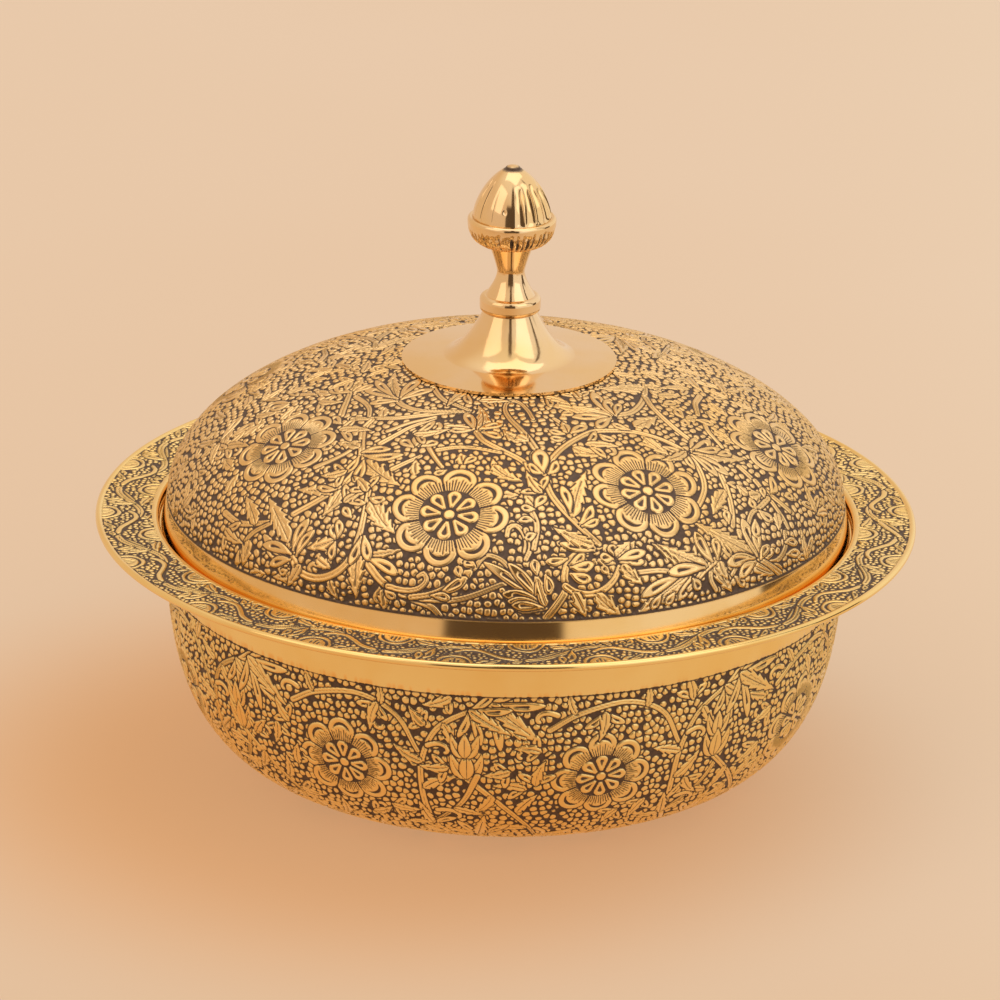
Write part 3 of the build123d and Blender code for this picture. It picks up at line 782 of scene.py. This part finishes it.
def build_bowl():
    wide_bend = bend + sheet
    inner_belly = bezier([(base_radius, sheet), (base_radius + base_pull, sheet),
                          (bowl_inside, belly_height - belly_pull), (bowl_inside, belly_height)], 400)
    inside = even(np.vstack([[(0, sheet)], inner_belly]), plain_pitch)
    seat = np.vstack([inside[-1:],
                      arc((bowl_inside + wide_bend, ledge_height - wide_bend), wide_bend, 180, 90),
                      arc((well_radius - bend, ledge_height + bend), bend, -90, 0),
                      arc((well_radius + wide_bend, rim_height - wide_bend), wide_bend, 180, 90)])
    strip = np.array([seat[-1], (rim_strip, rim_height)])
    hem_radius = hem_thickness / 2
    hem_centre = (rim_radius - hem_radius, rim_height + hem_rise - hem_radius)
    under = rim_height - sheet
    hem_angle = math.degrees(math.asin((rim_height - hem_centre[1]) / hem_radius))
    low_angle = math.degrees(math.asin((under - hem_centre[1]) / hem_radius))
    hem = arc(hem_centre, hem_radius, 180 - hem_angle, -180 - low_angle, 22)
    rim = even([strip[-1], hem[0]], row_pitch)
    rim_band = Band(lengths(rim) + rim_strip, rim[:, 0])
    chase_rim(rim_band)
    trim(rim_band, 0, 0)
    # Darkened a little all round, plus painted shade: darker on the viewer's side and lighter at the back.
    rim_band.stain_and_shade = 0.15 - 0.2 * np.sin(column_angles)
    outer_radius = bowl_inside + sheet
    belly = bezier([(outer_radius, belly_height),
                    (outer_radius, belly_height - belly_pull - quarter_handle * sheet),
                    (base_radius + base_pull + quarter_handle * sheet, 0), (base_radius, 0)], 3000)
    neck = np.vstack([hem[-1:],
                      arc((well_radius + sheet + bend, under - bend), bend, 90, 180),
                      arc((well_radius - bend, ledge_height + bend), wide_bend, 0, -90),
                      arc((bowl_inside + wide_bend, ledge_height - wide_bend), bend, 90, 180), belly[:1]])
    plain, chased, low = split_at(belly, bowl_plain, lengths(belly)[-1] - bowl_end)
    chased = even(chased, row_pitch)
    band = Band(lengths(chased) + bowl_plain, chased[:, 0])
    chase_bowl(band)
    trim(band, 0.15, 0.4)
    band.stain_and_shade = 0.8 * smooth(0.8, 0.25, band.along - band.along[0])[:, None]
    base = np.vstack([low, [(0, 0)]])
    parts = [inside, seat, strip, rim, hem, neck, even(plain, plain_pitch), chased, base]
    return spun("bowl_chased", parts, False, {3: rim_band, 7: band})


# Acorn, the CAD's profile with the casting's own uneven flutes: bearing from the front, half width, depth, top
kernel_flutes = [(12, 7.4, 0.85, 0.27), (28.8, 8, 1.05, 0.25), (45.5, 8, 1.1, 0.24), (62.5, 8, 1.0, 0.3),
                 (80, 8, 1.0, 0.3), (-53, 1.9, 0.5, 0.2), (-70, 2.4, 0.6, 0.18), (-30, 1.4, 0.16, 0.35)]
kernel_flutes += [(bearing, 8, 1.0, 0.3) for bearing in range(97, 262, 17)]
seam_height, stalk_top, cup_top = 124.7, 131.2, 137.6
kernel_foot, kernel_top, tip_height = 138.0, 150.3, 151.2
neck_radius, stalk_radius, cup_radius = 3.35, 5.4, 10.7
kernel_radius, kernel_end, tip_radius = 9.5, 1.95, 1.75
cup_lip, tapped_radius, tapped_depth = 0.8, 2.05, 10.0
# Lengths of the curves' handles, and slopes from upright in degrees
tip_crown, tip_handle = 0.65, 0.29
kernel_tip_pull, kernel_tip_slope, kernel_side_pull = 4.5, 117, 4.15
cup_side_pull, cup_under_pull = 5.5, 1.6
stalk_top_pull, stalk_top_slope, stalk_foot_pull, stalk_foot_slope = 2.2, 22, 1.6, 10
notches, pits = 44, 130


def slanted(point, length, slope):
    """The place at a length from a point, at a slope from upright."""
    angle = math.radians(slope)
    return point[0] + length * math.sin(angle), point[1] + length * math.cos(angle)


def groove(band, bearing, half, depth, first, last):
    """A hollow down the band, between two shares of its length, at a bearing from the front."""
    run = (band.along / band.along[-1])[:, None]
    off = (np.degrees(column_angles) + 90 - bearing + 180) % 360 - 180
    shape = np.clip(1 - (off / half) ** 2, 0, 1)
    band.level -= depth * shape * smooth(first, first + 0.22, run) * smooth(last, last - 0.1, run)


def pit(band, bearing, share, size, depth):
    """A dent in the casting."""
    where, x, y = band.patch(math.radians(bearing - 90), share * band.along[-1], 3 * size, 3 * size)
    band.level[where] -= depth * np.exp(-(x**2 + y**2) / size**2)


def build_acorn():
    tip = bezier([(tip_radius, tip_height - tip_crown), (tip_radius, tip_height - tip_handle),
                  (tip_radius * quarter_handle, tip_height), (0, tip_height)], 12)[::-1]
    tip = np.vstack([tip, [(tip_radius, kernel_top), (kernel_end, kernel_top)]])
    kernel_tip = slanted((kernel_end, kernel_top), kernel_tip_pull, kernel_tip_slope)
    kernel = bezier([(kernel_end, kernel_top), kernel_tip, (kernel_radius, kernel_foot + kernel_side_pull),
                     (kernel_radius, kernel_foot)], 300)
    lip = np.vstack([kernel[-1:], arc((cup_radius - cup_lip, cup_top), cup_lip, 90, 0, 8)])
    cup = bezier([(cup_radius, cup_top), (cup_radius, cup_top - cup_side_pull),
                  (stalk_radius + cup_under_pull, stalk_top), (stalk_radius, stalk_top)], 300)
    stalk = bezier([(stalk_radius, stalk_top),
                    slanted((stalk_radius, stalk_top), -stalk_top_pull, stalk_top_slope),
                    slanted((neck_radius, seam_height), stalk_foot_pull, stalk_foot_slope),
                    (neck_radius, seam_height)], 40)
    bore = np.array([stalk[-1], (tapped_radius, seam_height), (tapped_radius, seam_height + tapped_depth),
                     (0, seam_height + tapped_depth)])
    tip, kernel, cup = even(tip, 0.2), even(kernel, row_pitch), even(cup, row_pitch)
    bands = [Band(lengths(line), np.maximum(line[:, 0], 0.2)) for line in (tip, kernel, cup)]
    tip_band, kernel_band, cup_band = bands
    for band in bands:
        band.level[:] = 0
    for bearing, half, depth, first in kernel_flutes:
        groove(kernel_band, bearing, half, depth, first, 1.0)
    pit(kernel_band, -12, 0.74, 0.3, 0.9)
    for k in range(notches):
        bearing = (k + chance.uniform(-0.22, 0.22)) * 360 / notches
        strong = 1.0 if -25 < bearing < 205 else 0.45
        half, depth = chance.uniform(2.0, 3.4), strong * chance.uniform(0.6, 1.3)
        first = chance.uniform(0.0, 0.14)
        groove(cup_band, bearing, half, depth, first, 0.97)
    for _ in range(pits):
        bearing, share = chance.uniform(0, 360), chance.uniform(0.1, 0.7)
        pit(cup_band, bearing, share, chance.uniform(0.3, 0.9), chance.uniform(0.15, 0.6))
    for band in (kernel_band, cup_band):
        fade = np.minimum(band.along - band.along[0], band.along[-1] - band.along)[:, None]
        band.level *= smooth(0, 0.6, fade)
    kernel_band.tone, cup_band.tone = 0.25, 0.8
    kernel_band.stain_and_shade = 0.75 * smooth(1.6, 0.2, kernel_band.along)[:, None]
    tip_band.stain_and_shade = 0.3 + 0.6 * smooth(0.8, 2.0, tip_band.along)[:, None]
    parts = [tip, kernel, lip, cup, stalk, bore]
    return spun("acorn_cast", parts, False, {0: tip_band, 1: kernel_band, 3: cup_band})


# Materials
def linear(red, green, blue):
    """A colour as it shows in a picture, 0 to 255, as the linear colour that a shader takes."""
    shares = (c / 255 for c in (red, green, blue))
    return tuple(((c + 0.055) / 1.055) ** 2.4 if c > 0.04 else c / 12.92 for c in shares) + (1,)


class Nodes:
    """Short names for making the nodes of a material or of the world."""

    def __init__(self, owner):
        owner.use_nodes = True
        self.owner, self.tree = owner, owner.node_tree
        self.shader = self.tree.nodes.get("Principled BSDF")

    def node(self, kind, **settings):
        node = self.tree.nodes.new(kind)
        for key, value in settings.items():
            setattr(node, key, value)
        return node

    def link(self, start, end):
        self.tree.links.new(start, end)

    def put(self, socket, value):
        if hasattr(value, "is_output"):
            self.link(value, socket)
        else:
            socket.default_value = value

    def maths(self, operation, first, second=0.0, clamp=False):
        node = self.node("ShaderNodeMath", operation=operation, use_clamp=clamp)
        self.put(node.inputs[0], first)
        self.put(node.inputs[1], second)
        return node.outputs[0]

    def place(self):
        return self.node("ShaderNodeTexCoord").outputs["Object"]

    def noise(self, scale, detail=3.0, rough=0.5):
        node = self.node("ShaderNodeTexNoise")
        node.inputs["Scale"].default_value = scale
        node.inputs["Detail"].default_value = detail
        node.inputs["Roughness"].default_value = rough
        self.link(self.place(), node.inputs["Vector"])
        return node.outputs["Fac"]

    def ramp(self, value, low, high, out_low=0.0, out_high=1.0):
        node = self.node("ShaderNodeMapRange", interpolation_type="SMOOTHSTEP")
        for index, item in enumerate((value, low, high, out_low, out_high)):
            self.put(node.inputs[index], item)
        return node.outputs[0]

    def blend(self, share, first, second):
        node = self.node("ShaderNodeMix", data_type="RGBA")
        self.put(node.inputs["Factor"], share)
        colours = [s for s in node.inputs if s.type == "RGBA"]
        self.put(colours[0], first)
        self.put(colours[1], second)
        return [s for s in node.outputs if s.type == "RGBA"][0]

    def attribute(self, name):
        return self.node("ShaderNodeAttribute", attribute_name=name).outputs["Fac"]

    def bump(self, height, strength, distance):
        node = self.node("ShaderNodeBump")
        node.inputs["Strength"].default_value = strength
        node.inputs["Distance"].default_value = distance
        self.link(height, node.inputs["Height"])
        self.link(node.outputs[0], self.shader.inputs["Normal"])


brass = (0.91, 0.63, 0.295, 1)
brass_deep = (0.87, 0.555, 0.21, 1)
# Painted light: a brighter, warmer copy of the brass for the bowl, for the bright paper that it mirrors.
brass_painted_bright = (0.98, 0.72, 0.3, 1)
brass_deep_painted_bright = (0.95, 0.65, 0.23, 1)
brass_pale = (0.91, 0.67, 0.4, 1)
patina_dark, patina_light = linear(50, 40, 35), linear(118, 94, 76)


def mixed_brass(m):
    """Brass that varies a little in colour."""
    return m.blend(m.ramp(m.noise(60, 3, 0.5), 0.3, 0.7), brass_pale, brass)


def chased_brass(name, gold_light, gold_deep, wear, patch):
    """Bright tops and a brown oxide in the cuts, worn away in places. The brown also shows where the surface is
    darkened, which on the rim's front is painted shade.
    """
    m = Nodes(bpy.data.materials.new(name))
    cavity_and_shade = m.attribute("cavity_and_shade")
    fine, broad, worn = m.noise(900, 4, 0.6), m.noise(45, 3, 0.55), m.noise(patch, 3, 0.6)
    ragged = m.maths("ADD", cavity_and_shade, m.maths("MULTIPLY", m.maths("SUBTRACT", fine, 0.5), 0.34))
    rubbed = m.maths("SUBTRACT", ragged, m.ramp(worn, 0.46, 0.68, 0, wear))
    dark = m.ramp(rubbed, 0.3, 0.74)
    gold = m.blend(m.ramp(broad, 0.35, 0.7), gold_light, gold_deep)
    m.link(m.blend(dark, gold, m.blend(fine, patina_dark, patina_light)), m.shader.inputs["Base Color"])
    m.link(m.ramp(dark, 0, 1, 1.0, 0.3), m.shader.inputs["Metallic"])
    rough = m.maths("ADD", m.ramp(cavity_and_shade, 0.0, 0.03, 0.1, 0.3), m.maths("MULTIPLY", dark, 0.22))
    m.link(rough, m.shader.inputs["Roughness"])
    return m.owner


def cast_brass():
    """Polished casting with oxide left in its deepest cuts."""
    m = Nodes(bpy.data.materials.new("cast_brass"))
    fine = m.noise(1100, 4, 0.6)
    ragged = m.maths("ADD", m.attribute("cavity_and_shade"), m.maths("MULTIPLY", m.maths("SUBTRACT", fine, 0.5), 0.4))
    dark = m.ramp(ragged, 0.35, 0.9)
    colour = m.blend(dark, mixed_brass(m), m.blend(fine, patina_dark, patina_light))
    m.link(colour, m.shader.inputs["Base Color"])
    m.link(m.ramp(dark, 0, 1, 1.0, 0.35), m.shader.inputs["Metallic"])
    m.link(m.ramp(dark, 0, 1, 0.1, 0.45), m.shader.inputs["Roughness"])
    return m.owner


def polished_brass():
    m = Nodes(bpy.data.materials.new("polished_brass"))
    m.link(mixed_brass(m), m.shader.inputs["Base Color"])
    m.shader.inputs["Metallic"].default_value = 1.0
    m.link(m.ramp(m.noise(200, 3, 0.5), 0.3, 0.7, 0.07, 0.13), m.shader.inputs["Roughness"])
    return m.owner


def steel():
    m = Nodes(bpy.data.materials.new("steel"))
    fine = m.noise(600, 4, 0.6)
    grey = m.blend(m.ramp(fine, 0.3, 0.7), linear(176, 176, 172), linear(150, 150, 146))
    m.link(grey, m.shader.inputs["Base Color"])
    m.shader.inputs["Metallic"].default_value = 1.0
    m.link(m.ramp(fine, 0.3, 0.7, 0.3, 0.42), m.shader.inputs["Roughness"])
    m.bump(fine, 0.1, 0.0001)
    return m.owner


def dress(piece, material):
    piece.data.materials.clear()
    piece.data.materials.append(material)


# Studio, in metres
paper_front, paper_back, paper_half_width = -0.45, 1.6, 0.6
# Lamps: name, place, what they point at, size, power and colour
lamps = (
    ("key", (1.3, -1.1, 1.5), (0, 0, 0.06), 1.5, 3.8, (1, 0.91, 0.87)),
    ("fill", (-1.4, -1.0, 1.4), (0, 0, 0.06), 1.4, 3.4, (1, 0.89, 0.81)),
    ("top", (0.1, 0.2, 1.9), (0, 0, 0), 1.6, 4.8, (1, 0.92, 0.88)),
)


def build_floor(material):
    """A sheet of paper that ends outside the camera's view."""
    n = 13
    rows = np.linspace(paper_front, paper_back, n)
    places = np.linspace(-paper_half_width, paper_half_width, n)
    verts = [(x, y, 0) for y in rows for x in places]
    corners = [i * n + j for i in range(n - 1) for j in range(n - 1)]
    faces = [(corner, corner + 1, corner + n + 1, corner + n) for corner in corners]
    mesh = bpy.data.meshes.new("floor")
    mesh.from_pydata(verts, [], faces)
    floor = add_object("floor", mesh)
    dress(floor, material)


def paper():
    """Peach paper: painted shade makes it a little darker and warmer towards the viewer, painted light makes it
    lighter on the right, and a painted golden glow round the dish stands for light thrown by the brass. Most of
    what a camera or a mirror sees of it is its own colour, so that the shadow on it stays light."""
    m = Nodes(bpy.data.materials.new("paper"))
    across = m.node("ShaderNodeSeparateXYZ")
    m.link(m.place(), across.inputs[0])
    # Painted shade: these colours make the paper darker and warmer towards the viewer.
    near, middle, far = linear(219, 183, 143), linear(229, 197, 164), linear(232, 204, 175)
    front_painted_shade = m.blend(m.ramp(across.outputs[1], -0.34, -0.06), near, middle)
    colour = m.blend(m.ramp(across.outputs[1], -0.1, 0.7), front_painted_shade, far)
    # Painted light: a golden glow on the paper round the dish stands for light thrown onto it by the brass.
    from_dish = m.node("ShaderNodeVectorMath", operation="DISTANCE")
    m.link(m.place(), from_dish.inputs[0])
    from_dish.inputs[1].default_value = (-0.03, -0.02, 0)
    painted_brass_glow = m.ramp(from_dish.outputs["Value"], 0.15, 0.06, 0, 0.62)
    # Painted light: the paper is lighter towards the right.
    colour = m.blend(m.ramp(across.outputs[0], 0.0, 0.3, 0, 0.6), colour, linear(238, 219, 194))
    colour = m.blend(painted_brass_glow, colour, linear(226, 157, 84))
    # The paper's grain over its colour, which holds the painted shade, painted light and painted glow above.
    grain_and_painted_light = m.blend(m.ramp(m.noise(3, 2), 0.2, 0.8, 0, 0.04), colour, (1, 1, 1, 1))
    m.link(grain_and_painted_light, m.shader.inputs["Base Color"])
    m.shader.inputs["Roughness"].default_value = 0.9
    m.shader.inputs["Specular IOR Level"].default_value = 0.0
    rays = m.node("ShaderNodeLightPath").outputs
    mirrored = m.maths("ADD", rays["Is Glossy Ray"], rays["Is Transmission Ray"], True)
    by_camera = m.maths("MULTIPLY", rays["Is Camera Ray"], 0.66)
    seen = m.maths("MAXIMUM", by_camera, m.maths("MULTIPLY", mirrored, 0.85))
    glow = m.node("ShaderNodeEmission")
    m.link(grain_and_painted_light, glow.inputs["Color"])
    both = m.node("ShaderNodeMixShader")
    m.link(seen, both.inputs[0])
    m.link(m.shader.outputs[0], both.inputs[1])
    m.link(glow.outputs[0], both.inputs[2])
    m.link(both.outputs[0], m.tree.nodes["Material Output"].inputs["Surface"])
    return m.owner


def softbox(name, place, aim, size, power, colour):
    lamp = bpy.data.lights.new(name, "AREA")
    lamp.shape, lamp.size, lamp.size_y = "RECTANGLE", size, size
    lamp.energy, lamp.color = power, colour
    box = add_object(name, lamp)
    box.location = place
    box.rotation_euler = (Vector(aim) - Vector(place)).to_track_quat("-Z", "Y").to_euler()


# Dark shapes that stand round the dish: bearing from the viewer's side, half width, lowest and highest reach
dark_shapes = (
    (0.0, 0.36, -0.4, 0.6), (0.05, 0.13, 0.35, 0.93), (1.78, 0.2, -0.4, 0.3), (1.6, 0.08, 0.2, 0.9),
)


def build_room():
    """Light from all round: a peach room, whiter on the right, with dark upright shapes for the brass to mirror."""
    world = bpy.data.worlds.new("world")
    bpy.context.scene.world = world
    m = Nodes(world)
    background = m.tree.nodes["Background"]
    bearing = m.node("ShaderNodeSeparateXYZ")
    m.link(m.node("ShaderNodeTexCoord").outputs["Generated"], bearing.inputs[0])
    right, ahead, above = bearing.outputs
    level = m.maths("ARCTAN2", right, m.maths("MULTIPLY", ahead, -1.0))
    sides = m.blend(m.ramp(right, -0.35, 0.6), (0.78, 0.6, 0.44, 1), (0.95, 0.87, 0.78, 1))
    colour = m.blend(m.ramp(above, 0.5, 1.0), sides, (0.95, 0.86, 0.76, 1))
    for middle, reach, low, high in dark_shapes:
        off = m.maths("ABSOLUTE", m.maths("SUBTRACT", level, middle))
        shape = m.maths("MULTIPLY", m.ramp(off, reach, reach - 0.05), m.ramp(above, high, high - 0.12))
        shape = m.maths("MULTIPLY", shape, m.ramp(above, low - 0.05, low))
        colour = m.blend(shape, colour, (0.11, 0.075, 0.05, 1))
    seen = m.node("ShaderNodeLightPath").outputs["Is Camera Ray"]
    m.link(m.blend(seen, colour, linear(234, 206, 176)), background.inputs["Color"])
    background.inputs["Strength"].default_value = 1.0


def camera_axes():
    """The eye, and the picture's directions across, up and back towards it."""
    back = Vector((0, -math.cos(camera_elevation), math.sin(camera_elevation)))
    level_up = Vector((0, math.sin(camera_elevation), math.cos(camera_elevation)))
    level_across = Vector((1, 0, 0))
    across = level_across * math.cos(camera_roll) + level_up * math.sin(camera_roll)
    up = level_up * math.cos(camera_roll) - level_across * math.sin(camera_roll)
    return Vector(camera_aim) + back * camera_distance, across, up, back


def build_camera():
    camera = bpy.data.cameras.new("camera")
    camera.sensor_width, camera.lens = camera_sensor, camera_lens
    camera.clip_end = 20
    view = add_object("camera", camera)
    eye, across, up, back = camera_axes()
    view.matrix_world = Matrix.Translation(eye) @ Matrix((across, up, back)).transposed().to_4x4()
    bpy.context.scene.camera = view


def main():
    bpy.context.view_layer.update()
    knob_finish, steel_finish = polished_brass(), steel()
    lid_finish = chased_brass("chased_brass", brass, brass_deep, 0.05, 28)
    # The bowl's copy of the chased brass is more worn, and brighter and warmer as painted light.
    bowl_finish = chased_brass("chased_brass_worn_painted_bright", brass_painted_bright, brass_deep_painted_bright, 0.16, 90)
    pieces = ((build_lid(), "lid", "cover", lid_finish, "chased_brass"),
              (build_bowl(), "bowl", "dish", bowl_finish, "chased_brass"),
              (build_acorn(), "acorn", "cover", cast_brass(), "polished_brass"))
    for piece, node, body, finish, slot in pieces:
        dress(piece, finish)
        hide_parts(node)
        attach(piece, body)
    for node in ("finial_foot", "finial_collar", "finial_neck"):
        dress(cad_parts[node], knob_finish)
    for node in ("finial_stud", "lid_washer", "lid_nut"):
        dress(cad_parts[node], steel_finish)
    build_floor(paper())
    build_camera()
    for lamp in lamps:
        softbox(*lamp)
    build_room()
    bpy.context.scene.view_settings.view_transform = "Standard"


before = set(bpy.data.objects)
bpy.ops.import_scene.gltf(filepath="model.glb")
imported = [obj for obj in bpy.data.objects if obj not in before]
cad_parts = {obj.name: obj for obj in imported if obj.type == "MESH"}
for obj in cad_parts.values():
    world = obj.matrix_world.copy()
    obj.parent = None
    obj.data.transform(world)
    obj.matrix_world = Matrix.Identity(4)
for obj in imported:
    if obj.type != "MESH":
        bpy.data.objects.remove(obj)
main()
